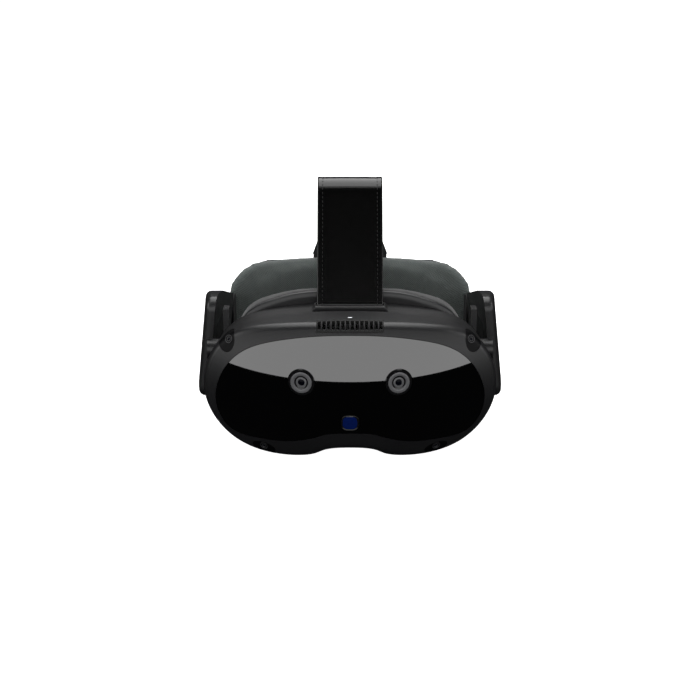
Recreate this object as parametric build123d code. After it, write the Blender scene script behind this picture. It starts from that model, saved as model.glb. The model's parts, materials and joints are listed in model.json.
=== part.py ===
from build123d import *
import os
from math import acos, atan2, cos, degrees, pi, radians, sin, sqrt, tan

# A head-worn VR headset standing on a table, in millimetres.
# -Y is the front (where the cameras look), +Y the back of the head, +Z up.
# X = 0 is the plane of symmetry and Z = 0 the table. The origin is below the
# middle of the headset. "Left" is the wearer's left, which is +X.

# ---------------------------------------------------------------- driving sizes
FRONT_Y = -155.0            # foremost point of the front plate
REAR_Y = 155.0              # rearmost point of the fit dial
PLAN_RADIUS = 150.0         # the visor's front, seen from above
SIDE_RADIUS = 95.0          # the visor's front, seen from the side
FRONT_MID_Z = 50.0          # height of the foremost point
WALL = 2.4
GAP = 0.3                   # clearance between parts that move apart

SEAM_Y = -113.0             # the bezel ends here and the rear housing begins
HOUSING_REAR_Y = -80.0
HOUSING_INSET = 3.0         # the rear housing is this much smaller than the bezel
BEZEL_ROUND = 6.5

# Half outlines (x, z) of the mirrored shapes, from the top middle to the bottom middle.
VISOR_OUTLINE = [
    (0, 96), (53, 92.3), (81, 82.7), (97, 60), (98, 35), (81.5, 10.5), (47, 0.2), (22.6, 3.8), (0, 9.5),
]
PLATE_OUTLINE = [
    (0, 88.6), (45, 84), (73, 72.7), (88, 52), (90, 33), (80, 16.5), (60, 13.3), (40, 14), (21, 19.5), (0, 22.6),
]
CUSHION_OUTLINE = [
    (0, 101), (46, 97.5), (72, 85), (82, 62), (79, 36), (62, 16), (42, 9), (24, 14), (12, 28), (0, 33),
]
CUSHION_OPENING = [
    (0, 86), (40, 83), (60, 74), (67, 58), (65, 38), (50, 26), (36, 23), (25, 31), (13, 44), (0, 49),
]
SHROUD_OUTLINE = [(0, 86), (50, 82), (72, 73), (82, 55), (82, 38), (70, 20), (47, 12), (24, 16), (0, 24)]

# place, looking direction, half-width and half-height of the dark window, its roll in degrees
TRACKING = {
    "upper": ((82.0, -123.0, 79.5), (0.50, -0.66, 0.56), 9.0, 6.8, 62.0),
    "lower": ((58.0, -131.0, 6.0), (0.25, -0.66, -0.70), 8.4, 4.6, 8.0),
}
COLOUR_CAMERA_PLACE = (32.0, 58.0)      # (x, z), mirrored
COLOUR_CAMERA_RADIUS = 9.0
SENSOR_PLACE_Z = 30.4
SENSOR_SIZE = (12.0, 11.6)              # the depth sensor's window
LIGHT_Y = (-129.6, -128.2)              # the status light
VENT_HALF_WIDTH = 22.0
VENT_Y = (-152.0, -134.0)
VENT_FLOOR_Z = 90.2

EYE_Z = 48.0                # height of the lens axes
IPD_REST = 64.5             # distance between the lens axes
LENS_TRAVEL = 3.75          # each lens module slides this far either way
BARREL_RADIUS = 23.0
ROD_RADIUS = 1.5
ROD_Y = -98.0
ROD_OFFSET = 27.0           # the guide rods lie this far above and below the lens axes
RUNNING = 0.05              # radial clearance of a shaft in its hole

IPD_TEETH = 12
IPD_PITCH_RADIUS = 4.0
IPD_GEAR_Z = 72.0
IPD_GEAR_Y = (-106.0, -103.0)

FAN_CENTRE_Z = 62.0
FAN_RADIUS = 14.0
FAN_Y = (-142.0, -134.0)

HINGE_Y = -72.0
HINGE_Z = 57.0
BRACKET_X = (84.0, 88.0)
PIN_RADIUS = 2.5
HUB_X = (88.4, 100.0)
HUB_RADIUS = 7.5

ARM_LEAN = 0.105            # the arms lean inwards by this much per unit of height
ARM_END_Y = 32.0
ARM_OUTER = [(106.5, -73), (109.6, -45), (110.2, -5), (107.6, 16), (103.8, ARM_END_Y)]      # (x, y) seen from above
ARM_INNER = [(93.5, ARM_END_Y), (95.6, 14), (97, -8), (99, -40), (100.4, -73)]
ARM_REFERENCE_Z = 27.0      # the height at which those two outlines are true
ARM_ROUND = 4.5
TONGUE_X = (92.5, 95.5)
TONGUE_Z = (26.0, 52.0)
TONGUE_TIP_Y = 71.5
WING_FRONT_Y = 46.0
SLOT_END_Y = 84.5

PAD_RADIUS = 113.0          # inner face of the rear cushion, about (0, CRADLE_CENTRE_Y)
CRADLE_CENTRE_Y = -1.0
PAD_THICKNESS = 11.0
CRADLE_WALL = 2.5
CRADLE_TOP_Z = 74.5
TOP_SLOPE = 0.3             # behind SLOPE_FROM_Y the cradle's top falls by this much per unit of length
SLOPE_FROM_Y = 122.0
BACK_RADIUS = 104.1         # outer face of the cradle, about (0, BACK_CENTRE_Y)
BACK_CENTRE_Y = 44.9
BATTERY_HALF_WIDTH = 66.0
BATTERY_Z = (45.0, CRADLE_TOP_Z)
BATTERY_WALL = 1.6
CELL_XS = (-45.0, -15.0, 15.0, 45.0)
CELL_Z = (47.0, 65.0)

WING_LIMIT_RADIUS = 106.0   # trims the wings' rear corners to the cradle's back
RELEASE_Z = 35.0
RELEASE_X = 46.0
CRADLE_SCREWS = [(70, 14), (72, 62)]        # (x, z), mirrored

DIAL_Z = 23.0
DIAL_RADIUS = 18.5
DIAL_INNER_Y = 146.5
DIAL_TEETH = 16
DIAL_PITCH_RADIUS = 8.0
FIT_RACK_Y = (127.0, 131.0)

STRAP_WIDTH = 45.0
STRAP_THICKNESS = 2.4
STRAP_POINTS = [(-98.0, 94.4), (-56.0, 176.0), (30.0, 152.2), (118.2, 94.0)]    # (y, z)
STRAP_BENDS = [14.0, 120.0]
STRAP_SPLIT_Y = 12.0
LOOP_BAR_Y = (119.2, 123.0)     # the bar that the rear of the strap is folded round
LOOP_BAR_Z = (87.2, 92.0)

SCREW_PLACES = [(54, 84.5), (91.5, 46), (60, 9.4)]       # (x, z), mirrored
BUTTON_Y = -96.5                # the buttons and the charging socket, under the housing
POWER_X = 50.0
VOLUME_X = (-36.0, -50.0)
USB_X = 34.0

# ---------------------------------------------------------------- small helpers


def front_plane(y, x=0, z=0):
    """A plane facing the front (-Y), with local x along +X and local y along +Z."""
    return Plane(origin=(x, y, z), x_dir=(1, 0, 0), z_dir=(0, -1, 0))


def half_curve(points):
    """A smooth curve through the points, level at both ends."""
    return Spline(*points, tangents=[(1, 0), (-1, 0)])


def mirrored_face(half_outline, inset=0.0):
    """A closed face from the right half of a mirrored outline, each point moved inwards by inset."""
    points = [Vector(x, z) for x, z in half_outline]
    if inset:
        curve = half_curve(points)
        tangents = [curve.tangent_at(curve.param_at_point(point)) for point in points]
        points = [point + Vector(along.Y, -along.X) * inset for point, along in zip(points, tangents)]
    right = half_curve(points)
    left = mirror(right, Plane.YZ)
    return make_face([right, left])


def prism(face, y_from, y_to):
    """The face, drawn in x and z, made solid from y_from to y_to."""
    return extrude(front_plane(y_to) * face, amount=y_to - y_from)


def block(x_range, y_range, z_range):
    """A box between the given limits."""
    size = [high - low for low, high in (x_range, y_range, z_range)]
    middle = [(high + low) / 2 for low, high in (x_range, y_range, z_range)]
    return Pos(*middle) * Box(*size)


def rod_y(radius, y_range, x=0.0, z=0.0):
    """A cylinder along Y."""
    return prism(Pos(x, z) * Circle(radius), *y_range)


def rod_x(radius, x_range, y=0.0, z=0.0):
    """A cylinder along X."""
    middle = (x_range[0] + x_range[1]) / 2
    return Pos(middle, y, z) * Rot(0, 90, 0) * Cylinder(radius, x_range[1] - x_range[0])


def rod_z(radius, z_range, x=0.0, y=0.0):
    """A cylinder along Z."""
    middle = (z_range[0] + z_range[1]) / 2
    return Pos(x, y, middle) * Cylinder(radius, z_range[1] - z_range[0])


def both_sides(part):
    """The part and its mirror image."""
    return [part, mirror(part, Plane.YZ)]


def front_bulge(inset=0.0):
    """The doubly curved solid whose surface is the visor's front, moved inwards by inset."""
    axis_y = FRONT_Y + PLAN_RADIUS
    centre_y = FRONT_Y + SIDE_RADIUS
    radius = SIDE_RADIUS - inset
    half_height = sqrt(radius ** 2 - (axis_y - centre_y) ** 2)
    top = (axis_y, FRONT_MID_Z + half_height)
    bottom = (axis_y, FRONT_MID_Z - half_height)
    arc = ThreePointArc(top, (centre_y - radius, FRONT_MID_Z), bottom)
    profile = make_face([Plane.YZ * arc, Plane.YZ * Line(bottom, top)])
    return revolve(profile, Axis((0, axis_y, 0), (0, 0, 1)), 360)


def rounded_front(outline_inset, rounding):
    """The visor's outline filled up to the curved front, with its front edge rounded."""
    body = prism(mirrored_face(VISOR_OUTLINE, outline_inset), FRONT_Y - 5, SEAM_Y) & front_bulge(outline_inset)
    front_edges = [
        edge for edge in body.edges()
        if edge.bounding_box().max.Y < SEAM_Y - 1 and edge.bounding_box().size.X > 3
    ]
    return fillet(front_edges, rounding)


def gear_face(teeth, pitch_radius, backlash):
    """An involute spur gear with a tooth along local x."""
    module = 2 * pitch_radius / teeth
    base = pitch_radius * cos(radians(20))
    tip = pitch_radius + 0.95 * module
    root = pitch_radius - 1.25 * module
    pitch_involute = tan(radians(20)) - radians(20)
    half_tooth = pi / (2 * teeth) - backlash / (2 * pitch_radius)
    flank = []
    for step in range(4):
        radius = max(base, root) + (tip - max(base, root)) * step / 3
        pressure = acos(min(1.0, base / radius))
        flank.append((radius, half_tooth + pitch_involute - (tan(pressure) - pressure)))
    flank.insert(0, (root, flank[0][1]))
    points = []
    for tooth in range(teeth):
        middle = 2 * pi * tooth / teeth
        rising = [(radius, middle - angle) for radius, angle in flank]
        falling = [(radius, middle + angle) for radius, angle in reversed(flank)]
        points += [(radius * cos(angle), radius * sin(angle)) for radius, angle in rising + falling]
    return make_face(Polyline(*points, close=True))


def rack_face(x_from, x_to, pitch_radius, teeth, backlash, back):
    """A rack with its pitch line on y = 0 and its teeth down, meshing with gear_face()."""
    module = 2 * pitch_radius / teeth
    pitch = pi * module
    half_tooth = pitch / 4 - backlash / 2
    slope = tan(radians(20))
    tip, root = 0.95 * module, 1.2 * module
    points = [(x_from, back), (x_from, root)]
    for index in range(int(x_from / pitch) - 2, int(x_to / pitch) + 3):
        middle = (index + 0.5) * pitch
        if middle - pitch / 2 < x_from or middle + pitch / 2 > x_to:
            continue
        points += [(middle - half_tooth - root * slope, root), (middle - half_tooth + tip * slope, -tip),
                   (middle + half_tooth - tip * slope, -tip), (middle + half_tooth + root * slope, root)]
    points += [(x_to, root), (x_to, back)]
    return make_face(Polyline(*points, close=True))


# ---------------------------------------------------------------- cameras in the front


def tracking_place(name):
    """Where a tracking camera's window is, with local z along the way the camera looks."""
    place, direction, _, _, roll = TRACKING[name]
    level = Vector(-direction[1], direction[0], 0)
    return Plane(origin=place, x_dir=level, z_dir=direction).location * Rot(0, 0, roll)


def tracking_camera(name):
    """A tracking camera behind its window: a square body with a round lens barrel."""
    place = tracking_place(name)
    body = place * Pos(0, 0, -9.4) * Box(7, 7, 3)
    barrel = place * Pos(0, 0, -6.6) * Cylinder(3.0, 3.0)
    return body + barrel


def tracking_window_cut(name, grow=0.0):
    """The elliptical column that a tracking camera looks through."""
    _, _, half_width, half_height, _ = TRACKING[name]
    return extrude(tracking_place(name) * Ellipse(half_width + grow, half_height + grow), amount=14, both=True)


# ---------------------------------------------------------------- visor


def make_front():
    """The bezel, the front plate, the windows and the vent grille."""
    outer = rounded_front(0.0, BEZEL_ROUND)
    inner = rounded_front(WALL, BEZEL_ROUND - WALL)
    shell = outer - inner

    plate_column = prism(mirrored_face(PLATE_OUTLINE), FRONT_Y - 5, SEAM_Y)
    plate_hole = prism(mirrored_face(PLATE_OUTLINE, -GAP), FRONT_Y - 5, SEAM_Y)
    plate = (front_bulge() - front_bulge(2.0)) & plate_column

    lip_column = prism(mirrored_face(PLATE_OUTLINE, -1.4), FRONT_Y - 5, SEAM_Y)
    lip_hole = prism(mirrored_face(PLATE_OUTLINE, 3.0), FRONT_Y - 5, SEAM_Y)
    lip = (front_bulge(2.1) - front_bulge(4.0)) & (lip_column - lip_hole)
    bezel = shell - plate_hole + lip

    for x_sign in (1, -1):
        camera_hole = rod_y(COLOUR_CAMERA_RADIUS + 0.15, (FRONT_Y - 5, -140), COLOUR_CAMERA_PLACE[0] * x_sign,
                            COLOUR_CAMERA_PLACE[1])
        plate -= camera_hole
    sensor_hole = prism(sensor_outline(0.2), FRONT_Y - 5, -140)
    plate -= sensor_hole
    bezel -= sensor_hole

    windows = []
    for name in TRACKING:
        for cut, hole in zip(both_sides(tracking_window_cut(name)), both_sides(tracking_window_cut(name, 0.15))):
            bezel -= hole
            windows.append((shell & cut) - plate_hole)
    windows = [solid for window in windows for solid in window.solids() if solid.volume > 60]

    slot = block((-VENT_HALF_WIDTH, VENT_HALF_WIDTH), VENT_Y, (VENT_FLOOR_Z, 99))
    bezel -= slot & (outer - rounded_front(4.5, 1.5))
    bezel -= block((-1.6, 1.6), (LIGHT_Y[0] - 0.1, LIGHT_Y[1] + 0.1), (90, 99))
    light = block((-1.5, 1.5), LIGHT_Y, (93.2, 99)) & outer
    return plate, bezel, windows, make_vent_grille(outer - inner), light


def make_vent_grille(shell):
    """The grille that fills the vent slot, its bars running front to back."""
    half_width = VENT_HALF_WIDTH - 0.2
    grille = shell & block((-half_width, half_width), (VENT_Y[0], VENT_Y[1] - 0.2), (VENT_FLOOR_Z + 0.2, 99))
    pitch = 3.1
    for index in range(14):
        x = (index - 6.5) * pitch
        grille -= block((x - 1.1, x + 1.1), (VENT_Y[0], VENT_Y[1] - 3), (VENT_FLOOR_Z + 1.4, 99))
    return grille.solids()


def make_colour_camera():
    """A colour camera: a round lens unit in the plate and a square sensor box behind it."""
    x, z = COLOUR_CAMERA_PLACE
    barrel = rod_y(COLOUR_CAMERA_RADIUS, (FRONT_Y, -142), x, z) & front_bulge(0.4)
    sensor = block((x - 8, x + 8), (-142, -134), (z - 8, z + 8))
    ring_groove = rod_y(7.2, (FRONT_Y, -149.6), x, z) - rod_y(6.4, (FRONT_Y, -149.6), x, z)
    return barrel + sensor - ring_groove


def sensor_outline(grow=0.0):
    """The depth sensor's rounded window."""
    width, height = SENSOR_SIZE
    return Pos(0, SENSOR_PLACE_Z) * RectangleRounded(width + 2 * grow, height + 2 * grow, 4.4 + grow)


def make_depth_sensor():
    """The depth sensor behind its small window."""
    window = prism(sensor_outline(), FRONT_Y, -146) & front_bulge(0.4)
    return window + block((-11, 11), (-146, -140), (SENSOR_PLACE_Z - 3.6, SENSOR_PLACE_Z + 6))


def make_rear_housing():
    """The lighter housing behind the bezel, open at the front, with openings at the rear."""
    outline = mirrored_face(VISOR_OUTLINE, HOUSING_INSET)
    inside = mirrored_face(VISOR_OUTLINE, HOUSING_INSET + WALL)
    housing = prism(outline, SEAM_Y, HOUSING_REAR_Y)
    rear_edges = [edge for edge in housing.edges() if edge.bounding_box().min.Y > HOUSING_REAR_Y - 1]
    housing = fillet(rear_edges, 1.2)
    housing -= prism(inside, SEAM_Y, HOUSING_REAR_Y - WALL)
    housing -= prism(mirrored_face(SHROUD_OUTLINE), -84, HOUSING_REAR_Y + 1)
    tongue = prism(mirrored_face(VISOR_OUTLINE, WALL + 0.1), SEAM_Y - 1.6, SEAM_Y)
    housing += tongue - prism(inside, SEAM_Y - 5, SEAM_Y + 1)
    for x, z in SCREW_PLACES:
        for sign in (1, -1):
            housing -= rod_y(1.1, (-84, -79), x * sign, z)
            housing -= rod_y(2.1, (-81.3, -79), x * sign, z)
    housing -= rod_z(3.7, (0, 9), POWER_X, BUTTON_Y)
    for x in VOLUME_X:
        housing -= block((x - 5.0, x + 5.0), (BUTTON_Y - 2.3, BUTTON_Y + 2.3), (0, 9))
    housing -= block((USB_X - 4.6, USB_X + 4.6), (BUTTON_Y - 1.7, BUTTON_Y + 1.7), (0, 9))
    return housing


def make_chassis():
    """The stiff frame inside the visor: a pierced wall with screw posts and rod posts."""
    wall_y = (-112.0, -110.0)
    chassis = prism(mirrored_face(VISOR_OUTLINE, HOUSING_INSET + WALL + 0.2), *wall_y)
    for sign in (1, -1):
        chassis -= rod_y(17.0, (-115, -105), IPD_REST / 2 * sign, EYE_Z)
        chassis -= rod_y(5.0, (-115, -105), 74 * sign, 30)
        chassis -= rod_y(5.0, (-115, -105), 74 * sign, 66)
    for x, z in SCREW_PLACES:
        for sign in (1, -1):
            post = rod_y(2.8, (-110.5, HOUSING_REAR_Y - WALL), x * sign, z)
            post -= rod_y(1.0, (-93, -80), x * sign, z)
            chassis += post & prism(mirrored_face(VISOR_OUTLINE, HOUSING_INSET + WALL + 0.2), -112, -80)
    for offset_z in (ROD_OFFSET, -ROD_OFFSET):
        for x_low, x_high in ((62, 66), (-66, -62)):
            post = block((x_low, x_high), (-110.5, -95), (EYE_Z + offset_z - 3, EYE_Z + offset_z + 3))
            chassis += post - rod_x(ROD_RADIUS, (-70, 70), ROD_Y, EYE_Z + offset_z)
    return chassis - rod_y(4.6, (-115, -105), 0, IPD_GEAR_Z)


def make_main_board():
    """The circuit board with its larger chips and connectors."""
    board = block((-70, 70), (-125.2, -124.0), (20, 78))
    chips = [
        (0, 34, 16, 16), (-26, 34, 12, 12), (26, 34, 12, 12), (-50, 50, 14, 10), (50, 50, 14, 10), (0, 66, 20, 8),
    ]
    for x, z, width, height in chips:       # middle of the chip, its width and height
        board += block((x - width / 2, x + width / 2), (-124.0, -122.4), (z - height / 2, z + height / 2))
    return board


def make_heat_sink():
    """The finned block between the board and the fan's outlet."""
    sink = block((-24, 24), (-131.5, -125.2), (28, 84))
    sink -= block((-11, 11), (-132, -127), (70, 85))
    for index in range(15):
        x = -21.7 + 3.1 * index
        sink -= block((x - 0.9, x + 0.9), (-132, -127.2), (27, 85))
    return sink


def make_fan():
    """The blower's housing with its centre post, and the rotor that turns on it."""
    y_low, y_high = FAN_Y
    housing = prism(Pos(0, FAN_CENTRE_Z) * RectangleRounded(34, 36, 3), y_low, y_high)
    housing -= rod_y(FAN_RADIUS + 0.8, (y_low + 1.2, y_high - 1.2), 0, FAN_CENTRE_Z)
    housing -= rod_y(9, (y_low - 1, y_low + 2), 0, FAN_CENTRE_Z)
    housing -= block((-10, 10), (y_low + 1.2, y_high - 1.2), (FAN_CENTRE_Z, FAN_CENTRE_Z + 20))
    housing += rod_y(1.5, (y_low + 1.8, y_high - 1), 0, FAN_CENTRE_Z)
    blade_y = (y_low + 1.8, y_high - 1.8)
    rotor = rod_y(6, blade_y, 0, FAN_CENTRE_Z) - rod_y(1.5 + RUNNING, (y_low, y_high), 0, FAN_CENTRE_Z)
    blade = prism(Pos(9.6, 0) * Rot(0, 0, 24) * Rectangle(8.4, 0.9), *blade_y)
    for index in range(11):
        rotor += Pos(0, 0, FAN_CENTRE_Z) * Rot(0, 360 / 11 * index, 0) * blade
    return housing, rotor


def make_lens_module():
    """The left lens module: barrel with rod ears and rack, lens, display panel, eye-tracking ring."""
    x = IPD_REST / 2
    barrel = rod_y(BARREL_RADIUS, (-108, -84), x, EYE_Z)
    for side in (1, -1):
        ear_z = EYE_Z + side * (ROD_OFFSET - 2)
        barrel += block((x - 7, x + 7), (-106, -94), (ear_z - 7, ear_z + 7))
    barrel -= rod_y(BARREL_RADIUS - 2.5, (-107, -83), x, EYE_Z)
    barrel -= block((x - 17.8, x + 17.8), (-109, -106), (EYE_Z - 17.8, EYE_Z + 17.8))
    for side in (1, -1):
        barrel -= rod_x(ROD_RADIUS + RUNNING, (0, 80), ROD_Y, EYE_Z + side * ROD_OFFSET)
    display = block((x - 17.5, x + 17.5), (-107.9, -106.3), (EYE_Z - 17.5, EYE_Z + 17.5))
    seat = rod_y(BARREL_RADIUS - 2.5, (-101, -87), x, EYE_Z)
    front_ball = Pos(x, -101 + 48, EYE_Z) * Sphere(48)
    rear_ball = Pos(x, -87 - 70, EYE_Z) * Sphere(70)
    lens = seat & front_ball & rear_ball
    ring = rod_y(BARREL_RADIUS - 2.5, (-86.8, -85.0), x, EYE_Z) - rod_y(18.4, (-87, -84), x, EYE_Z)
    return barrel, lens, display, ring


def ipd_rack(top):
    """The rack arm of a lens module, above (left) or below (right) the pinion."""
    face = rack_face(-7.6, IPD_REST / 2 - 7.0, IPD_PITCH_RADIUS, IPD_TEETH, 0.16, 3.6)
    rack = prism(face, *IPD_GEAR_Y)
    if top:
        return Pos(0, 0, IPD_GEAR_Z + IPD_PITCH_RADIUS) * rack
    return Pos(0, 0, IPD_GEAR_Z - IPD_PITCH_RADIUS) * Rot(0, 180, 0) * rack


def make_ipd_drive():
    """The small motor that moves the lenses, and the pinion on its shaft."""
    motor = rod_y(4.4, (-121.0, -108.5), 0, IPD_GEAR_Z) + rod_y(1.0, (-108.5, -102.5), 0, IPD_GEAR_Z)
    motor += block((-8.6, 8.6), (-110.0, -108.8), (IPD_GEAR_Z - 6, IPD_GEAR_Z + 6))
    pinion = prism(gear_face(IPD_TEETH, IPD_PITCH_RADIUS, 0.16), -105.8, -103.2)
    pinion -= rod_y(1.0 + RUNNING, (-110, -100))
    return motor, Pos(0, 0, IPD_GEAR_Z) * pinion


def make_eye_shroud():
    """The soft wall between the lenses and the rear housing, with an oval hole for each lens."""
    shroud = prism(mirrored_face(SHROUD_OUTLINE, 0.15), -82.4, -81.0)
    for sign in (1, -1):
        shroud -= prism(Pos(IPD_REST / 2 * sign, EYE_Z) * SlotOverall(56, 48.6), -90, -75)
    return shroud


def make_buttons():
    """The power button and the two volume buttons, in the underside of the rear housing."""
    power = rod_z(3.4, (2.4, 8.4), POWER_X, BUTTON_Y) + rod_z(4.6, (7.4, 8.4), POWER_X, BUTTON_Y)
    volume = []
    for x in VOLUME_X:
        cap = block((x - 4.7, x + 4.7), (BUTTON_Y - 2.0, BUTTON_Y + 2.0), (2.4, 8.4))
        flange = block((x - 5.8, x + 5.8), (BUTTON_Y - 3.2, BUTTON_Y + 3.2), (7.4, 8.4))
        volume.append(cap + flange)
    return power, volume


def make_usb_port():
    """The USB-C receptacle: a steel sleeve with its contact tongue."""
    sleeve = block((USB_X - 4.5, USB_X + 4.5), (BUTTON_Y - 1.6, BUTTON_Y + 1.6), (3.8, 12.0))
    sleeve -= block((USB_X - 4.15, USB_X + 4.15), (BUTTON_Y - 1.25, BUTTON_Y + 1.25), (0.0, 10.6))
    return sleeve + block((USB_X - 3.3, USB_X + 3.3), (BUTTON_Y - 0.35, BUTTON_Y + 0.35), (4.6, 11.0))


def make_strap_anchor():
    """The slotted plate on top of the rear housing that the front of the strap is sewn through."""
    anchor = prism(Pos(0, 92) * RectangleRounded(51, 9.2, 3.2), -104.5, -91.5)
    top_edges = anchor.edges().group_by(Axis.Z)[-1]
    anchor = fillet(top_edges, 1.0)
    anchor -= prism(mirrored_face(VISOR_OUTLINE, HOUSING_INSET), -110, -85)
    return anchor - block((-23.2, 23.2), (-101.0, -94.6), (90, 99))


def make_housing_screws():
    """The screws that hold the rear housing to the chassis."""
    screws = []
    for x, z in SCREW_PLACES:
        for sign in (1, -1):
            shank = rod_y(1.0, (-90, -81.3), x * sign, z)
            head = rod_y(1.9, (-81.3, -80.2), x * sign, z)
            screws.append(shank + head - block((x * sign - 0.4, x * sign + 0.4), (-80.8, -80), (z - 1.2, z + 1.2)))
    return screws


def make_hinge_bracket():
    """The left hinge bracket: an upright plate behind the rear housing."""
    side = Polyline(
        (HOUSING_REAR_Y, 38), (-68, 38), (-64, 44), (-63.5, 80), (-68, 88), (HOUSING_REAR_Y, 88), close=True)
    bracket = extrude(Plane.YZ.offset(BRACKET_X[0]) * make_face(side), amount=BRACKET_X[1] - BRACKET_X[0])
    corner_edges = [
        edge for edge in bracket.edges().filter_by(Axis.X)
        if edge.center().Y > HOUSING_REAR_Y + 1
    ]
    bracket = fillet(corner_edges, 2.5)
    for height in (68, 74, 80):
        bracket -= rod_x(1.5, (BRACKET_X[0] - 1, BRACKET_X[1] + 1), -73, height)
    return bracket - rod_x(PIN_RADIUS, (80, 92), HINGE_Y, HINGE_Z)


def make_hinge_pin():
    """The left hinge pin: its head is on the bracket's inner side and its end in the arm's hub."""
    pin = rod_x(PIN_RADIUS, (BRACKET_X[0] - 0.5, HUB_X[1] - 1.8), HINGE_Y, HINGE_Z)
    return pin + rod_x(4.0, (BRACKET_X[0] - 1.4, BRACKET_X[0]), HINGE_Y, HINGE_Z)


# ---------------------------------------------------------------- face gasket


def make_gasket():
    """The frame that clips to the housing, its magnets, and the soft cushion on it."""
    frame = prism(mirrored_face(CUSHION_OUTLINE, 1.2), -79.7, -77.2)
    frame -= prism(mirrored_face(CUSHION_OPENING, -0.6), -85, -70)
    magnets = []
    for x, z in ((42, 90), (73, 48)):
        for sign in (1, -1):
            frame -= rod_y(2.6, (-79.8, -77.9), x * sign, z)
            magnets.append(rod_y(2.5, (-79.7, -78.0), x * sign, z))
    cushion = prism(mirrored_face(CUSHION_OUTLINE), -77.0, -30)
    cushion -= prism(mirrored_face(CUSHION_OPENING), -80, -20)
    cushion -= rod_z(140, (-10, 120), 0, 75)
    return frame, magnets, cushion


# ---------------------------------------------------------------- headband

def leaning_prism(outer, inner):
    """A plan outline pushed up along the arm's lean; the outline is true at ARM_REFERENCE_Z."""
    front = Line(inner[-1], outer[0])
    rear = Line(outer[-1], inner[0])
    face = make_face([Spline(*outer), rear, Spline(*inner), front])
    shift = ARM_REFERENCE_Z * ARM_LEAN
    return extrude(Pos(shift, 0, 0) * face, amount=110, dir=(-ARM_LEAN, 0, 1))


def arm_side_face():
    """The arm seen from its side, as a face in (y, z)."""
    outline = Polyline((-72, 20), (ARM_END_Y, 20), (ARM_END_Y, 70), (-30, 88.5), (-56, 93), (-72, 93), close=True)
    face = make_face(outline)
    face = fillet(face.vertices().group_by(Axis.X)[-1], 5)
    face = fillet(face.vertices().filter_by(lambda v: -60 < v.X < 0), 30)
    return fillet(face.vertices().group_by(Axis.X)[0], 9)


def make_side_arm():
    """The left arm: a leaning shell with a pocket for the speaker, a hinge hub and a tongue."""
    solid = leaning_prism(ARM_OUTER, ARM_INNER)
    side = extrude(Plane.YZ.offset(80) * arm_side_face(), amount=40)
    arm = solid & side
    outer_face = max(arm.faces(), key=lambda face: face.normal_at().X * face.area)
    arm = fillet(outer_face.edges(), ARM_ROUND)
    pocket_outer = [(x - WALL, y) for x, y in ARM_OUTER]
    pocket_inner = [(x + 1.4, y) for x, y in ARM_INNER]
    pocket = leaning_prism(pocket_outer, pocket_inner)
    pocket_side = block((80, 120), (-52, 6), (28, 71))
    cover_hole = leaning_prism([(x + 1.4, y) for x, y in reversed(ARM_INNER)], [(x - 6, y) for x, y in ARM_INNER])
    cover_side = block((80, 120), (-49, 3), (31, 68))
    arm -= (pocket & pocket_side) + (cover_hole & cover_side)
    cover = leaning_prism([(x + 1.2, y) for x, y in reversed(ARM_INNER)], ARM_INNER)
    cover &= block((80, 120), (-48.8, 2.8), (31.2, 67.8))
    for index in range(6):
        y = -30 + 5 * index
        cover -= block((80, 120), (y - 1, y + 1), (36, 52))
    arm += rod_x(HUB_RADIUS, HUB_X, HINGE_Y, HINGE_Z)
    arm -= rod_x(PIN_RADIUS + RUNNING, (80, HUB_X[1] - 1.4), HINGE_Y, HINGE_Z)
    arm += block(TONGUE_X, (18, TONGUE_TIP_Y), TONGUE_Z)
    return arm, cover


def make_speaker():
    """The left speaker driver in the arm's pocket."""
    lean = degrees(atan2(ARM_LEAN, 1))
    return Pos(102.8, -18, 44) * Rot(0, 90 - lean, 0) * Cylinder(6.5, 5.4)


# ---------------------------------------------------------------- rear cradle


def disc_z(radius, centre_y):
    """A tall cylinder about (0, centre_y)."""
    return rod_z(radius, (-10, 110), 0, centre_y)


def cradle_front_outline(inset=0.0):
    """The cradle seen from the front."""
    right = [(50, 0), (98, 19), (98, 48), (87, 58), (74, CRADLE_TOP_Z)]
    left = [(-x, z) for x, z in reversed(right)]
    face = fillet(make_face(Polyline(*right, *left, close=True)).vertices(), 6)
    if inset:
        face = offset(face, amount=-inset)
    return face


def under_slope(drop=0.0):
    """Everything below the cradle's sloping top, lowered by drop."""
    top = CRADLE_TOP_Z - drop
    fall = (170 - SLOPE_FROM_Y) * TOP_SLOPE
    side = Polyline((60, -5), (170, -5), (170, top - fall), (SLOPE_FROM_Y, top), (60, top), close=True)
    return extrude(Plane.YZ * make_face(side), amount=120, both=True)


def cradle_outside():
    """The cradle's outer shape, filled up to the front, with its rear edges rounded."""
    solid = disc_z(BACK_RADIUS, BACK_CENTRE_Y) & prism(cradle_front_outline(), 60, 170) & under_slope()
    back_face = max(solid.faces(), key=lambda face: face.normal_at().Y * face.area)
    return fillet(back_face.edges().filter_by(lambda edge: edge.bounding_box().max.Y > 90), 4.0)


def make_wing():
    """The left wing of the rear shell, a sleeve for the arm's tongue."""
    outline = Polyline((WING_FRONT_Y, 20), (86, 20), (86, 55), (WING_FRONT_Y, 65), close=True)
    face = fillet(make_face(outline).vertices().group_by(Axis.X)[0], 5)
    wing = extrude(Plane.YZ.offset(90.5) * face, amount=7.5)
    outer_face = wing.faces().sort_by(Axis.X)[-1]
    return fillet(outer_face.edges().filter_by(lambda edge: edge.center().Y < 80), 2.0)


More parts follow.
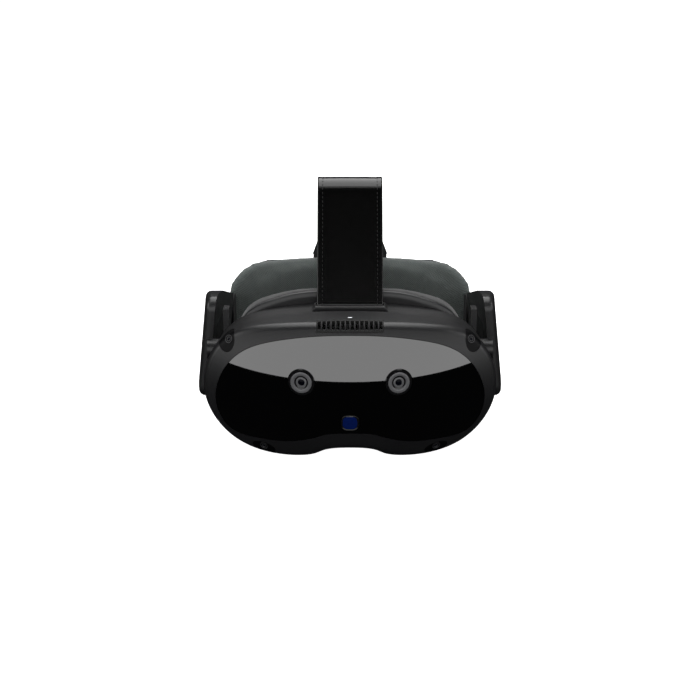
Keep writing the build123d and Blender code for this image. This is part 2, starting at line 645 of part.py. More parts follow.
def make_cradle_shells():
    """The front shell behind the cushion, and the rear shell with its wings and battery bay."""
    back_of_pad = PAD_RADIUS + PAD_THICKNESS
    split = back_of_pad + CRADLE_WALL
    outside = cradle_outside()
    front_shell = (disc_z(split, CRADLE_CENTRE_Y) - disc_z(back_of_pad, CRADLE_CENTRE_Y)) & outside
    front_shell &= block((-89.9, 89.9), (60, 170), (-5, 90))

    rear_shell = outside - disc_z(split, CRADLE_CENTRE_Y)
    hollow = disc_z(BACK_RADIUS - WALL, BACK_CENTRE_Y) & prism(cradle_front_outline(WALL), 60, 170)
    hollow &= under_slope(WALL)
    hollow &= block((-86, 86), (60, 170), (-5, 90))
    rear_shell -= hollow - disc_z(split, CRADLE_CENTRE_Y)
    bay = block((-BATTERY_HALF_WIDTH - GAP, BATTERY_HALF_WIDTH + GAP), (90, 170), (BATTERY_Z[0] - 0.3, 95))
    rear_shell -= bay
    floor = disc_z(BACK_RADIUS - 1, BACK_CENTRE_Y) - disc_z(split, CRADLE_CENTRE_Y)
    rear_shell += floor & block((-80, 80), (60, 170), (BATTERY_Z[0] - 2.2, BATTERY_Z[0] - 0.3))
    for sign in (1, -1):
        x_low, x_high = sorted((sign * (BATTERY_HALF_WIDTH + GAP), sign * (BATTERY_HALF_WIDTH + GAP + 2)))
        side_wall = block((x_low, x_high), (60, 170), (BATTERY_Z[0] - 2, BATTERY_Z[1]))
        rear_shell += floor & side_wall & under_slope(0.2)
    for wing in both_sides(make_wing()):
        rear_shell += wing & disc_z(WING_LIMIT_RADIUS, BACK_CENTRE_Y)
    for channel in both_sides(block((TONGUE_X[0] - GAP, TONGUE_X[1] + GAP), (WING_FRONT_Y - 1, SLOT_END_Y),
                                    (TONGUE_Z[0] - GAP, TONGUE_Z[1] + GAP))):
        rear_shell -= channel
    boss = rod_y(DIAL_RADIUS + 2.2, (142.6, 150), 0, DIAL_Z) & disc_z(BACK_RADIUS, BACK_CENTRE_Y)
    rear_shell += boss
    rear_shell -= rod_y(DIAL_RADIUS + 0.5, (DIAL_INNER_Y - 0.5, 160), 0, DIAL_Z)
    rear_shell -= rod_y(4.0 + RUNNING, (135, 160), 0, DIAL_Z)
    x, y, _, direction = release_place()
    rear_shell -= Plane(origin=(x, y, RELEASE_Z), x_dir=(0, 0, 1), z_dir=direction) * Cylinder(4.8, 16)
    for hole in cradle_screws(1.6, 8.0):
        front_shell -= hole
    return front_shell, rear_shell


def release_place():
    """Where the release button sits on the cradle's back, and the direction it faces."""
    y = BACK_CENTRE_Y + sqrt(BACK_RADIUS ** 2 - RELEASE_X ** 2)
    direction = Vector(RELEASE_X, y - BACK_CENTRE_Y, 0).normalized()
    return RELEASE_X, y, RELEASE_Z, (direction.X, direction.Y, 0)


def make_release_button():
    """The sprung button that lets the battery go."""
    x, y, z, direction = release_place()
    plane = Plane(origin=(x, y, z), x_dir=(0, 0, 1), z_dir=direction)
    return plane * Pos(0, 0, -1.2) * Cylinder(4.5, 4.6)


def cradle_screws(radius, length):
    """Cylinders square to the front shell, centred in its wall, one for each screw."""
    middle_radius = PAD_RADIUS + PAD_THICKNESS + CRADLE_WALL / 2
    screws = []
    for place_x, z in CRADLE_SCREWS:
        for x in (place_x, -place_x):
            reach_y = sqrt(middle_radius ** 2 - x ** 2)
            plane = Plane(origin=(x, CRADLE_CENTRE_Y + reach_y, z), x_dir=(0, 0, 1), z_dir=(x, reach_y, 0))
            screws.append(plane * Cylinder(radius, length))
    return screws


def make_rear_cushion():
    """The knitted cushion that meets the back of the head."""
    outline = Polyline((-56, 4), (56, 4), (88, 22), (90, 79.5), (-90, 79.5), (-88, 22), close=True)
    face = fillet(make_face(outline).vertices().group_by(Axis.Y)[-1], 26)
    face = fillet(face.vertices().filter_by(lambda corner: corner.Y < 30), 9)
    ring = disc_z(PAD_RADIUS + PAD_THICKNESS - 0.1, CRADLE_CENTRE_Y) - disc_z(PAD_RADIUS, CRADLE_CENTRE_Y)
    return ring & prism(face, 60, 170)


def make_strap_loop():
    """The bracket above the cradle with the slot that the rear of the strap goes through."""
    outline = Polyline((-30.5, 80), (30.5, 80), (26, LOOP_BAR_Z[1]), (-26, LOOP_BAR_Z[1]), close=True)
    face = fillet(make_face(outline).vertices().group_by(Axis.Y)[-1], 2.4)
    foot = prism(face, LOOP_BAR_Y[0], 127) & block((-40, 40), (110, 130), (80, 82.4))
    shell_radius = PAD_RADIUS + PAD_THICKNESS + CRADLE_WALL
    skirt = disc_z(shell_radius, CRADLE_CENTRE_Y) - disc_z(shell_radius - CRADLE_WALL, CRADLE_CENTRE_Y)
    skirt &= block((-30, 30), (110, 130), (CRADLE_TOP_Z, 81))
    loop = (prism(face, *LOOP_BAR_Y) + foot + skirt) & disc_z(shell_radius - 0.1, CRADLE_CENTRE_Y)
    return loop - block((-23.2, 23.2), (110, 130), (82.4, LOOP_BAR_Z[0]))


def battery_shape(inset):
    """The curved block that the battery fills, moved inwards by inset."""
    front_radius = PAD_RADIUS + PAD_THICKNESS + CRADLE_WALL + 0.6 + inset
    outside = disc_z(BACK_RADIUS - inset, BACK_CENTRE_Y) & under_slope(inset) if inset else cradle_outside()
    region = outside - disc_z(front_radius, CRADLE_CENTRE_Y)
    half = BATTERY_HALF_WIDTH - inset
    return region & block((-half, half), (80, 170), (BATTERY_Z[0] + inset, BATTERY_Z[1] - inset))


def make_battery():
    """The removable battery: its case and the cells inside."""
    case = battery_shape(0) - battery_shape(BATTERY_WALL)
    cells = []
    for x in CELL_XS:
        front_y = CRADLE_CENTRE_Y + sqrt((PAD_RADIUS + PAD_THICKNESS + 3) ** 2 - x ** 2)
        back_y = BACK_CENTRE_Y + sqrt(BACK_RADIUS ** 2 - x ** 2)
        turn = Rot(0, 0, -x * 0.48)         # degrees; follows the curve of the case
        middle = Pos(x, (front_y + back_y) / 2, sum(CELL_Z) / 2)
        cells.append(middle * turn * Box(26, 10, CELL_Z[1] - CELL_Z[0]))
    return case, cells


def make_dial():
    """The knob behind the head, moulded in one with its shaft and pinion."""
    knob = rod_y(DIAL_RADIUS, (DIAL_INNER_Y, REAR_Y), 0, DIAL_Z)
    knob = fillet(knob.edges().group_by(Axis.Y)[-1], 1.6)
    groove = rod_y(1.3, (DIAL_INNER_Y - 1, REAR_Y + 1), DIAL_RADIUS + 0.55, 0)
    for index in range(24):
        knob -= Pos(0, 0, DIAL_Z) * Rot(0, 15 * index, 0) * groove
    knob += rod_y(4.0, (131.5, DIAL_INNER_Y), 0, DIAL_Z)
    pinion = prism(gear_face(DIAL_TEETH, DIAL_PITCH_RADIUS, 0.25), FIT_RACK_Y[0], 131.5)
    return knob + Pos(0, 0, DIAL_Z) * pinion


def make_fit_racks():
    """The racks on the inner ends of the side bands, above and below the pinion."""
    face = rack_face(-20.0, 30.0, DIAL_PITCH_RADIUS, DIAL_TEETH, 0.25, 4.5)
    rack = prism(face, *FIT_RACK_Y)
    left = Pos(0, 0, DIAL_Z + DIAL_PITCH_RADIUS) * rack
    right = Pos(0, 0, DIAL_Z - DIAL_PITCH_RADIUS) * Rot(0, 180, 0) * rack
    return left, right


# ---------------------------------------------------------------- top strap


def make_top_strap():
    """The overhead strap, in the front and rear lengths that meet on top."""
    path = FilletPolyline(*[(0, y, z) for y, z in STRAP_POINTS], radius=STRAP_BENDS)
    start = Plane(origin=path @ 0, x_dir=(1, 0, 0), z_dir=path % 0)
    band = sweep(start * Rectangle(STRAP_WIDTH, STRAP_THICKNESS), path)
    front = band & block((-40, 40), (-120, STRAP_SPLIT_Y - GAP / 2), (0, 200))
    rear = band & block((-40, 40), (STRAP_SPLIT_Y + GAP / 2, 150), (0, 200))
    half = STRAP_WIDTH / 2
    hole_y = (LOOP_BAR_Y[0] - 0.4, LOOP_BAR_Y[1] + 0.4)
    hole_z = (LOOP_BAR_Z[0] - 0.4, LOOP_BAR_Z[1] + 0.4)
    fold_y = (hole_y[0] - STRAP_THICKNESS, hole_y[1] + STRAP_THICKNESS)
    fold_z = (hole_z[0] - STRAP_THICKNESS, hole_z[1] + STRAP_THICKNESS)
    fold = block((-half, half), fold_y, fold_z)
    fold = fillet(fold.edges().filter_by(Axis.X), 2.0)
    return front, rear + fold - block((-half - 1, half + 1), hole_y, hole_z)


# ---------------------------------------------------------------- write the parts


def write(name, shape):
    """Write one node; a list of solids is one node of separate solids."""
    if isinstance(shape, (list, ShapeList)):
        shape = Compound(children=list(shape))
    export_step(shape, f"parts/{name}.step")


def write_pair(name, shape):
    """Write the left piece and its mirror image on the right."""
    left, right = both_sides(shape)
    write(f"{name}_left", left)
    write(f"{name}_right", right)


os.makedirs("parts", exist_ok=True)

plate, bezel, windows, grille, light = make_front()
write("front_plate", plate)
write("front_bezel", bezel)
write("tracking_windows", windows)
write("vent_grille", grille)
write("status_light", light)
for camera_name in TRACKING:
    write_pair(f"tracking_camera_{camera_name}", tracking_camera(camera_name))
write_pair("colour_camera", make_colour_camera())
write("depth_sensor", make_depth_sensor())
write("rear_housing", make_rear_housing())
write("chassis", make_chassis())
write("main_board", make_main_board())
write("heat_sink", make_heat_sink())
fan_housing, fan_rotor = make_fan()
write("fan_housing", fan_housing)
write("fan_rotor", fan_rotor)
barrel, lens, display, ring = make_lens_module()
barrel_right = mirror(barrel, Plane.YZ)
write("lens_barrel_left", barrel + ipd_rack(True))
write("lens_barrel_right", barrel_right + ipd_rack(False))
write_pair("lens", lens)
write_pair("display", display)
write_pair("eye_tracking_ring", ring)
motor, ipd_pinion = make_ipd_drive()
write("ipd_motor", motor)
write("ipd_pinion", ipd_pinion)
write("guide_rods", [rod_x(ROD_RADIUS, (-66, 66), ROD_Y, EYE_Z + side * ROD_OFFSET) for side in (1, -1)])
write("eye_shroud", make_eye_shroud())
power_button, volume_buttons = make_buttons()
write("power_button", power_button)
write("volume_down_button", volume_buttons[0])
write("volume_up_button", volume_buttons[1])
write("usb_port", make_usb_port())
write("strap_anchor", make_strap_anchor())
write("housing_screws", make_housing_screws())
write_pair("hinge_bracket", make_hinge_bracket())
write("hinge_pins", both_sides(make_hinge_pin()))
gasket_frame, gasket_magnets, face_cushion = make_gasket()
write("gasket_frame", gasket_frame)
write("gasket_magnets", gasket_magnets)
write("face_cushion", face_cushion)
side_arm, speaker_cover = make_side_arm()
write_pair("side_arm", side_arm)
write_pair("speaker_cover", speaker_cover)
write("speaker_drivers", both_sides(make_speaker()))
front_shell, rear_shell = make_cradle_shells()
write("cradle_front_shell", front_shell)
write("cradle_rear_shell", rear_shell)
write("release_button", make_release_button())
write("cradle_screws", cradle_screws(1.5, 2.0))
write("rear_cushion", make_rear_cushion())
write("strap_loop", make_strap_loop())
battery_case, battery_cells = make_battery()
write("battery_case", battery_case)
write("battery_cells", battery_cells)
write("fit_dial", make_dial())
fit_rack_left, fit_rack_right = make_fit_racks()
write("fit_rack_left", fit_rack_left)
write("fit_rack_right", fit_rack_right)
strap_front, strap_rear = make_top_strap()
write("top_strap_front", strap_front)
write("top_strap_rear", strap_rear)
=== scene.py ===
import json
from math import atan2, cos, hypot, pi, radians, sin, sqrt

import bmesh
import bpy
import numpy as np
from mathutils import Matrix, Vector


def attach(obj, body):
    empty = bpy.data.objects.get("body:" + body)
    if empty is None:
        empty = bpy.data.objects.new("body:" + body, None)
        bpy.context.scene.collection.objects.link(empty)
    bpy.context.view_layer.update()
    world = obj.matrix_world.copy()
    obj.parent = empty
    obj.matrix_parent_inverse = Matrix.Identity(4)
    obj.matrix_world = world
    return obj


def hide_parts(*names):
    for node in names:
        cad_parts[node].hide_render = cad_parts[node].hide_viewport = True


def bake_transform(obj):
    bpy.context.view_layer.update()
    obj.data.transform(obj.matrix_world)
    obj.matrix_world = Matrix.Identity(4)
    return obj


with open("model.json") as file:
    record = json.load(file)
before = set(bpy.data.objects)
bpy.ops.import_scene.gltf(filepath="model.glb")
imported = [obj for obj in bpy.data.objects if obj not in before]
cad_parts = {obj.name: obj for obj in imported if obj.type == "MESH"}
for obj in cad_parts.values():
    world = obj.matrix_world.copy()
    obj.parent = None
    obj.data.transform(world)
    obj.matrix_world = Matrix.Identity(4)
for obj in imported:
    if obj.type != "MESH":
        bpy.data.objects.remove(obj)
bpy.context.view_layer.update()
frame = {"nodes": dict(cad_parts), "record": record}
NODES = frame["nodes"]
MM = 0.001

# ------------------------------------------------------------------ materials

KNIT_PITCH = 1.6        # millimetres between the knit's rows of holes
WEBBING_PITCH = 0.8     # millimetres between the ribs of the strap
SHARP_CAD_EDGE = radians(28)


class Surface:
    """A principled material and short calls that wire its procedural nodes."""

    def __init__(self, name):
        self.material = bpy.data.materials.new(name)
        self.material.use_nodes = True
        self.tree = self.material.node_tree
        self.shader = self.tree.nodes["Principled BSDF"]

    def set(self, **values):
        """Puts constant values on the shader's own sockets."""
        for name, value in values.items():
            self.shader.inputs[name.replace("_", " ")].default_value = value
        return self

    def link(self, source, target):
        """Joins an output socket to an input socket of the shader, by name."""
        self.tree.links.new(source, self.shader.inputs[target])
        return self

    def node(self, kind, settings=None, **inputs):
        """Adds a node; an input is a socket to link or a constant."""
        node = self.tree.nodes.new(kind)
        for name, value in (settings or {}).items():
            setattr(node, name, value)
        for name, value in inputs.items():
            key = int(name[1:]) if name[0] == "_" else name.replace("_", " ")
            if isinstance(value, bpy.types.NodeSocket):
                self.tree.links.new(value, node.inputs[key])
            else:
                node.inputs[key].default_value = value
        return node

    def place(self):
        """The point in the headset's own frame, in metres."""
        return self.node("ShaderNodeTexCoord").outputs["Object"]

    def uv(self):
        """The point on the piece's own unrolled surface, in millimetres."""
        return self.node("ShaderNodeUVMap", {"uv_map": "cloth_mm"}).outputs["UV"]

    def noise(self, vector, scale, detail=3.0, roughness=0.55):
        """Noise whose features are about 1 / scale across."""
        node = self.node("ShaderNodeTexNoise", Vector=vector, Scale=scale, Detail=detail,
                         Roughness=roughness)
        return node.outputs["Fac"]

    def math(self, operation, first, second=0.0, third=0.0):
        """One arithmetic step on sockets or numbers."""
        node = self.node("ShaderNodeMath", {"operation": operation}, _0=first, _1=second, _2=third)
        return node.outputs[0]

    def spread(self, factor, low, high):
        """Stretches a factor between two values."""
        node = self.node("ShaderNodeMapRange", Value=factor, To_Min=low, To_Max=high)
        return node.outputs["Result"]

    def blend_colour(self, factor, first, second):
        """A colour between two constant colours."""
        node = self.node("ShaderNodeMix", {"data_type": "RGBA"}, _0=factor)
        node.inputs[6].default_value = (*first, 1)
        node.inputs[7].default_value = (*second, 1)
        return node.outputs[2]

    def bump(self, height, distance, below=None):
        """Adds relief of the given depth in metres, over an earlier relief."""
        node = self.node("ShaderNodeBump", Height=height, Distance=distance, Strength=1.0)
        if below is not None:
            self.tree.links.new(below, node.inputs["Normal"])
        self.tree.links.new(node.outputs["Normal"], self.shader.inputs["Normal"])
        return node.outputs["Normal"]


def shade(colour, factor):
    """The colour made lighter or darker."""
    return tuple(channel * factor for channel in colour)


def moulded(name, colour, roughness, grain_mm=0.35, depth_mm=0.012, variation=0.12):
    """Moulded plastic: slight cloudiness, uneven gloss and the spark-eroded grain of the mould."""
    surface = Surface(name)
    place = surface.place()
    clouds = surface.noise(place, 45.0)
    grain = surface.noise(place, 1 / (grain_mm * MM), 2.0, 0.6)
    cloudy = surface.blend_colour(clouds, shade(colour, 1 - variation), shade(colour, 1 + variation))
    surface.link(cloudy, "Base Color")
    uneven = surface.math("ADD", surface.spread(clouds, -0.04, 0.04),
                          surface.spread(grain, -0.05, 0.05))
    surface.link(surface.math("ADD", uneven, roughness), "Roughness")
    surface.bump(grain, depth_mm * MM)
    surface.set(IOR=1.46)
    return surface.material


def polished(name, colour, roughness, ior=1.45, specular=0.5):
    """Polished plastic: nearly clear gloss with faint orange peel, and a dust-fine unevenness."""
    surface = Surface(name)
    place = surface.place()
    clouds = surface.noise(place, 30.0)
    dust = surface.noise(place, 2200.0, 1.0)
    surface.link(surface.blend_colour(clouds, shade(colour, 0.85), shade(colour, 1.15)), "Base Color")
    surface.link(surface.math("ADD", surface.spread(dust, -0.012, 0.012), roughness), "Roughness")
    surface.bump(surface.noise(place, 90.0, 1.0), 0.002 * MM)
    surface.set(IOR=ior, Specular_IOR_Level=specular)
    return surface.material


def metal(name, colour, roughness, brushed=True):
    """Bare metal with drawn streaks or a cast grain."""
    surface = Surface(name)
    place = surface.place()
    stretch = (2500.0, 120.0, 2500.0) if brushed else (900.0, 900.0, 900.0)
    streaks = surface.noise(surface.node("ShaderNodeMapping", Vector=place, Scale=stretch).outputs[0], 1.0)
    surface.link(surface.blend_colour(streaks, shade(colour, 0.85), shade(colour, 1.1)), "Base Color")
    surface.link(surface.spread(streaks, roughness - 0.08, roughness + 0.1), "Roughness")
    surface.bump(streaks, 0.004 * MM)
    surface.set(Metallic=1.0)
    return surface.material


def knit_mesh(name, colour):
    """Spacer knit: a staggered lattice of small holes between raised yarns, the holes darkened with painted
    shade.
    """
    surface = Surface(name)
    split = surface.node("ShaderNodeSeparateXYZ", Vector=surface.uv())
    place = surface.place()
    wobble = surface.spread(surface.noise(place, 260.0, 2.0), -0.22, 0.22)
    slant_up = surface.math("ADD", split.outputs[0], split.outputs[1])
    slant_down = surface.math("SUBTRACT", split.outputs[0], split.outputs[1])
    across = surface.math("ADD", slant_up, wobble)
    along = surface.math("ADD", slant_down, wobble)
    wave_u = surface.math("SINE", surface.math("MULTIPLY", across, pi / KNIT_PITCH))
    wave_v = surface.math("SINE", surface.math("MULTIPLY", along, pi / KNIT_PITCH))
    lattice = surface.math("ABSOLUTE", surface.math("MULTIPLY", wave_u, wave_v))
    yarn = surface.math("SMOOTH_MIN", surface.math("SUBTRACT", 1.0, lattice), 0.85, 0.3)
    fuzz = surface.noise(place, 5200.0, 2.0)
    clouds = surface.noise(place, 70.0)
    # Base colour darkens in the holes along the yarn relief: painted shade in the recesses; the clouds add
    # the yarn's own uneven tone.
    painted_hole_shade_and_tone = surface.math("MULTIPLY", surface.spread(yarn, 0.0, 1.0), surface.spread(clouds, 0.8, 1.15))
    surface.link(surface.blend_colour(painted_hole_shade_and_tone, shade(colour, 0.22), shade(colour, 1.3)), "Base Color")
    surface.link(surface.spread(fuzz, 0.78, 0.97), "Roughness")
    under = surface.bump(yarn, 0.28 * MM)
    surface.bump(fuzz, 0.05 * MM, under)
    surface.set(Sheen_Weight=0.35, Sheen_Roughness=0.45, IOR=1.4)
    return surface.material


def webbing(name, colour):
    """Elastic webbing: fine ribs along the strap crossed by weft floats, with painted shade in the grooves
    between ribs.
    """
    surface = Surface(name)
    split = surface.node("ShaderNodeSeparateXYZ", Vector=surface.uv())
    place = surface.place()
    ribs = surface.math("SINE", surface.math("MULTIPLY", split.outputs[0], 2 * pi / WEBBING_PITCH))
    weft = surface.math("MULTIPLY", split.outputs[1], 2 * pi / (WEBBING_PITCH * 1.6))
    floats = surface.math("SINE", weft)
    weave = surface.math("ADD", surface.math("ABSOLUTE", ribs), surface.math("MULTIPLY", floats, 0.35))
    fuzz = surface.noise(place, 4200.0, 2.0)
    clouds = surface.noise(place, 60.0)
    # Base colour darkens in the grooves between ribs along the weave relief: painted shade; the clouds add
    # the yarn's own uneven tone.
    surface.link(surface.blend_colour(surface.math("MULTIPLY", clouds, weave), shade(colour, 0.7),
                                      shade(colour, 1.5)), "Base Color")
    surface.link(surface.spread(fuzz, 0.15, 0.22), "Roughness")
    under = surface.bump(weave, 0.02 * MM)
    surface.bump(fuzz, 0.01 * MM, under)
    surface.set(IOR=1.45)
    return surface.material


def soft_cover(name, colour):
    """The soft skin of the face cushion: a leather-like pebble over foam."""
    surface = Surface(name)
    place = surface.place()
    cells = surface.node("ShaderNodeTexVoronoi", {"feature": "SMOOTH_F1"}, Vector=place, Scale=900.0)
    creases = surface.noise(place, 180.0, 4.0)
    clouds = surface.noise(place, 50.0)
    surface.link(surface.blend_colour(clouds, shade(colour, 0.8), shade(colour, 1.25)), "Base Color")
    surface.link(surface.spread(creases, 0.5, 0.7), "Roughness")
    under = surface.bump(cells.outputs["Distance"], 0.06 * MM)
    surface.bump(creases, 0.12 * MM, under)
    surface.set(Sheen_Weight=0.25, Sheen_Roughness=0.5, IOR=1.42)
    return surface.material


def clear_glass(name, tint, roughness=0.02):
    """Coated optical glass."""
    surface = Surface(name)
    place = surface.place()
    haze = surface.noise(place, 400.0, 1.0)
    surface.link(surface.blend_colour(haze, shade(tint, 0.95), tint), "Base Color")
    surface.link(surface.spread(haze, roughness, roughness + 0.02), "Roughness")
    surface.bump(surface.noise(place, 70.0, 1.0), 0.0015 * MM)
    surface.set(Transmission_Weight=0.85, IOR=1.5, Coat_Weight=0.6, Coat_Roughness=0.02,
                Coat_Tint=(0.88, 0.82, 1.0, 1.0))
    return surface.material


def circuit(name):
    """Solder mask with faint tracks and tinned pads."""
    surface = Surface(name)
    place = surface.place()
    upright = surface.node("ShaderNodeMapping", Vector=place, Rotation=(radians(90), 0, 0),
                           Scale=(260.0, 260.0, 260.0))
    bricks = surface.node("ShaderNodeTexBrick", {"offset": 0.5}, Vector=upright.outputs[0])
    bricks.inputs["Mortar Size"].default_value = 0.06
    green = surface.blend_colour(bricks.outputs["Fac"], (0.008, 0.05, 0.03), (0.02, 0.16, 0.09))
    surface.link(green, "Base Color")
    surface.link(surface.spread(surface.noise(place, 500.0), 0.25, 0.4), "Roughness")
    surface.bump(bricks.outputs["Fac"], 0.03 * MM)
    return surface.material


def glowing(name, colour, strength):
    """A milky light guide, dimly lit from inside."""
    surface = Surface(name)
    place = surface.place()
    haze = surface.noise(place, 700.0)
    surface.link(surface.blend_colour(haze, shade(colour, 0.8), colour), "Base Color")
    surface.link(surface.spread(haze, 0.2, 0.35), "Roughness")
    surface.set(Emission_Color=(*colour, 1), Emission_Strength=strength)
    return surface.material


NEAR_BLACK = (0.006, 0.006, 0.0065)
RING_GREY = (0.009, 0.009, 0.0098)
ARM_GREY = (0.013, 0.0132, 0.014)

MATERIALS = {
    "gloss_black": polished("gloss_black", (0.0004, 0.0004, 0.0005), 0.03, 1.55, 1.0),
    "bezel_plastic": moulded("bezel_plastic", RING_GREY, 0.40, 0.30, 0.008),
    "dark_window": polished("dark_window", (0.0012, 0.0012, 0.0015), 0.45, 1.3, 0.25),
    "vent_plastic": moulded("vent_plastic", (0.0012, 0.0012, 0.0013), 0.7),
    "light_guide": glowing("light_guide", (0.85, 0.88, 0.92), 0.6),
    "camera_black": polished("camera_black", NEAR_BLACK, 0.12),
    "sensor_blue": polished("sensor_blue", (0.002, 0.010, 0.085), 0.06, 1.6),
    "housing_plastic": moulded("housing_plastic", (0.007, 0.007, 0.0075), 0.45),
    "chassis_metal": metal("chassis_metal", (0.32, 0.32, 0.33), 0.45, brushed=False),
    "circuit_board": circuit("circuit_board"),
    "heat_sink_metal": metal("heat_sink_metal", (0.55, 0.55, 0.57), 0.35),
    "steel": metal("steel", (0.55, 0.55, 0.56), 0.30),
    "shroud_rubber": moulded("shroud_rubber", (0.006, 0.006, 0.0066), 0.70, 0.6, 0.02),
    "strap_webbing": webbing("strap_webbing", (0.0012, 0.0012, 0.0013)),
    "barrel_plastic": moulded("barrel_plastic", (0.016, 0.016, 0.017), 0.5),
    "lens_glass": clear_glass("lens_glass", (0.80, 0.86, 0.92)),
    "display_black": polished("display_black", (0.004, 0.004, 0.008), 0.10),
    "gear_plastic": moulded("gear_plastic", (0.62, 0.60, 0.55), 0.42, 0.5, 0.006, 0.05),
    "button_plastic": moulded("button_plastic", (0.024, 0.024, 0.026), 0.38),
    "face_foam": soft_cover("face_foam", (0.0055, 0.0055, 0.006)),
    "arm_plastic": moulded("arm_plastic", ARM_GREY, 0.36, 0.30, 0.008),
    "arm_inner_plastic": moulded("arm_inner_plastic", (0.005, 0.005, 0.0055), 0.5),
    "cradle_plastic": moulded("cradle_plastic", (0.010, 0.010, 0.0108), 0.42),
    "knit_fabric": knit_mesh("knit_fabric", (0.105, 0.121, 0.115)),
    "battery_plastic": moulded("battery_plastic", (0.016, 0.016, 0.017), 0.40),
    "cell_wrap": moulded("cell_wrap", (0.45, 0.46, 0.48), 0.35, 0.8, 0.01),
    "dial_plastic": moulded("dial_plastic", (0.018, 0.018, 0.019), 0.42),
}
# Light grey: the colour cameras' own satin rings, and also the painted highlight on the depth sensor's
# upper rim.
SATIN_RING_AND_PAINTED_HIGHLIGHT = moulded("satin_ring_and_painted_highlight", (0.11, 0.11, 0.115), 0.36, 0.25, 0.004)
RING_DIM = moulded("ring_dim", (0.035, 0.035, 0.038), 0.45, 0.25, 0.004)
LENS_DARK = polished("lens_dark", (0.0015, 0.0018, 0.004), 0.08, 1.2, 0.2)
THREAD = moulded("thread", (0.0035, 0.0035, 0.0037), 0.75, 0.15, 0.03)

for subpart in frame["record"]["subparts"]:
    cad_mesh = NODES[subpart["node"]].data
    cad_mesh.materials.clear()
    cad_mesh.materials.append(MATERIALS[subpart["material_slot"]])
    cad_mesh.polygons.foreach_set("use_smooth", [True] * len(cad_mesh.polygons))
    cad_mesh.set_sharp_from_angle(angle=SHARP_CAD_EDGE)

# ------------------------------------------------------------------ mesh helpers


def finish_piece(mesh_object, body, replaces=()):
    """Links a piece, rides it on its body and hides the CAD nodes it stands for."""
    if mesh_object.name not in bpy.context.scene.objects:
        bpy.context.scene.collection.objects.link(mesh_object)
    if body:
        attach(mesh_object, body)
    if replaces:
        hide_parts(*replaces)
    return mesh_object


def grid_object(name, rows, materials, close_rows=False, close_columns=False, uv=None, cap=False):
    """A smooth mesh from rows of points in millimetres; uv gives (u, v) in millimetres for row, column."""
    mesh = bpy.data.meshes.new(name)
    height, width = len(rows), len(rows[0])
    vertices = [Vector(point) * MM for row in rows for point in row]
    faces = []
    for i in range(height if close_rows else height - 1):
        for j in range(width if close_columns else width - 1):
            i_next, j_next = (i + 1) % height, (j + 1) % width
            faces.append((i * width + j, i * width + j_next, i_next * width + j_next, i_next * width + j))
    if cap:
        faces.append(tuple(reversed(range(width))))
        faces.append(tuple(range((height - 1) * width, height * width)))
    mesh.from_pydata(vertices, [], faces)
    if uv:
        layer = mesh.uv_layers.new(name="cloth_mm")
        for face in mesh.polygons:
            columns = [mesh.loops[loop].vertex_index % width for loop in face.loop_indices]
            lines = [mesh.loops[loop].vertex_index // width for loop in face.loop_indices]
            for loop, column, line in zip(face.loop_indices, columns, lines):
                wrapped_column = width if close_columns and column == 0 and width - 1 in columns else column
                wrapped_line = height if close_rows and line == 0 and height - 1 in lines else line
                layer.data[loop].uv = uv(wrapped_line, wrapped_column)
    for material in materials:
        mesh.materials.append(material)
    mesh.polygons.foreach_set("use_smooth", [True] * len(mesh.polygons))
    fix_normals(mesh)
    return bpy.data.objects.new(name, mesh)


def fix_normals(mesh):
    """Points all faces outwards."""
    shell = bmesh.new()
    shell.from_mesh(mesh)
    bmesh.ops.recalc_face_normals(shell, faces=shell.faces)
    shell.to_mesh(mesh)
    shell.free()


def lathe(name, profile, origin, direction, materials, segments=64):
    """Spins (radius, height, material index) points in millimetres about direction through origin."""
    turn = Vector((0, 0, 1)).rotation_difference(Vector(direction).normalized()).to_matrix()
    rows = []
    for radius, height, _ in profile:
        ring = []
        for step in range(segments):
            angle = 2 * pi * step / segments
            ring.append(Vector(origin) + turn @ Vector((radius * cos(angle), radius * sin(angle), height)))
        rows.append(ring)
    piece = grid_object(name, rows, materials, close_columns=True, cap=True)
    for face in piece.data.polygons:
        line = face.index // segments
        if line < len(profile) - 1:
            face.material_index = profile[line][2]
        else:
            face.material_index = profile[0][2] if line == len(profile) - 1 else profile[-1][2]
    sharp_edges(piece, 35)
    return piece


def sharp_edges(piece, degrees_limit):
    """Keeps crisp edges where the surface turns by more than the limit."""
    piece.data.set_sharp_from_angle(angle=radians(degrees_limit))


def rounded_box_outline(half_width, half_height, radius, steps=8):
    """Points round a rounded rectangle, from the middle of its right side upwards."""
    points = []
    for corner_x, corner_z, start in ((1, 1, 0), (-1, 1, 90), (-1, -1, 180), (1, -1, 270)):
        for step in range(steps + 1):
            angle = radians(start + 90 * step / steps)
            points.append((corner_x * (half_width - radius) + radius * cos(angle),
                           corner_z * (half_height - radius) + radius * sin(angle)))
    return points


# ------------------------------------------------------------------ stage, camera and lights

CAMERA_ELEVATION = radians(17.0)
CAMERA_DISTANCE = 1.0
AIM = Vector((0.0, -0.152, 0.0806))
LENS_LENGTH = 79.2          # millimetres, over a 36 mm wide sensor
FLOOR_HALF = 40.0           # metres, so that its edge stays out of sight
FLOOR_GLOW = 1.0
FLOOR_PALE, FLOOR_PALER = (0.92, 0.92, 0.92), (0.95, 0.95, 0.95)
ROOM_COLOUR, ROOM_STRENGTH = (0.92, 0.94, 0.96, 1), 0.008


def make_camera():
    """The camera in front of the headset and a little above it."""
    data = bpy.data.cameras.new("camera")
    data.lens = LENS_LENGTH
    data.sensor_width = 36.0
    camera = bpy.data.objects.new("camera", data)
    bpy.context.scene.collection.objects.link(camera)
    camera.location = AIM + Vector((0, -cos(CAMERA_ELEVATION), sin(CAMERA_ELEVATION))) * CAMERA_DISTANCE
    camera.rotation_euler = (pi / 2 - CAMERA_ELEVATION, 0, 0)
    bpy.context.scene.camera = camera


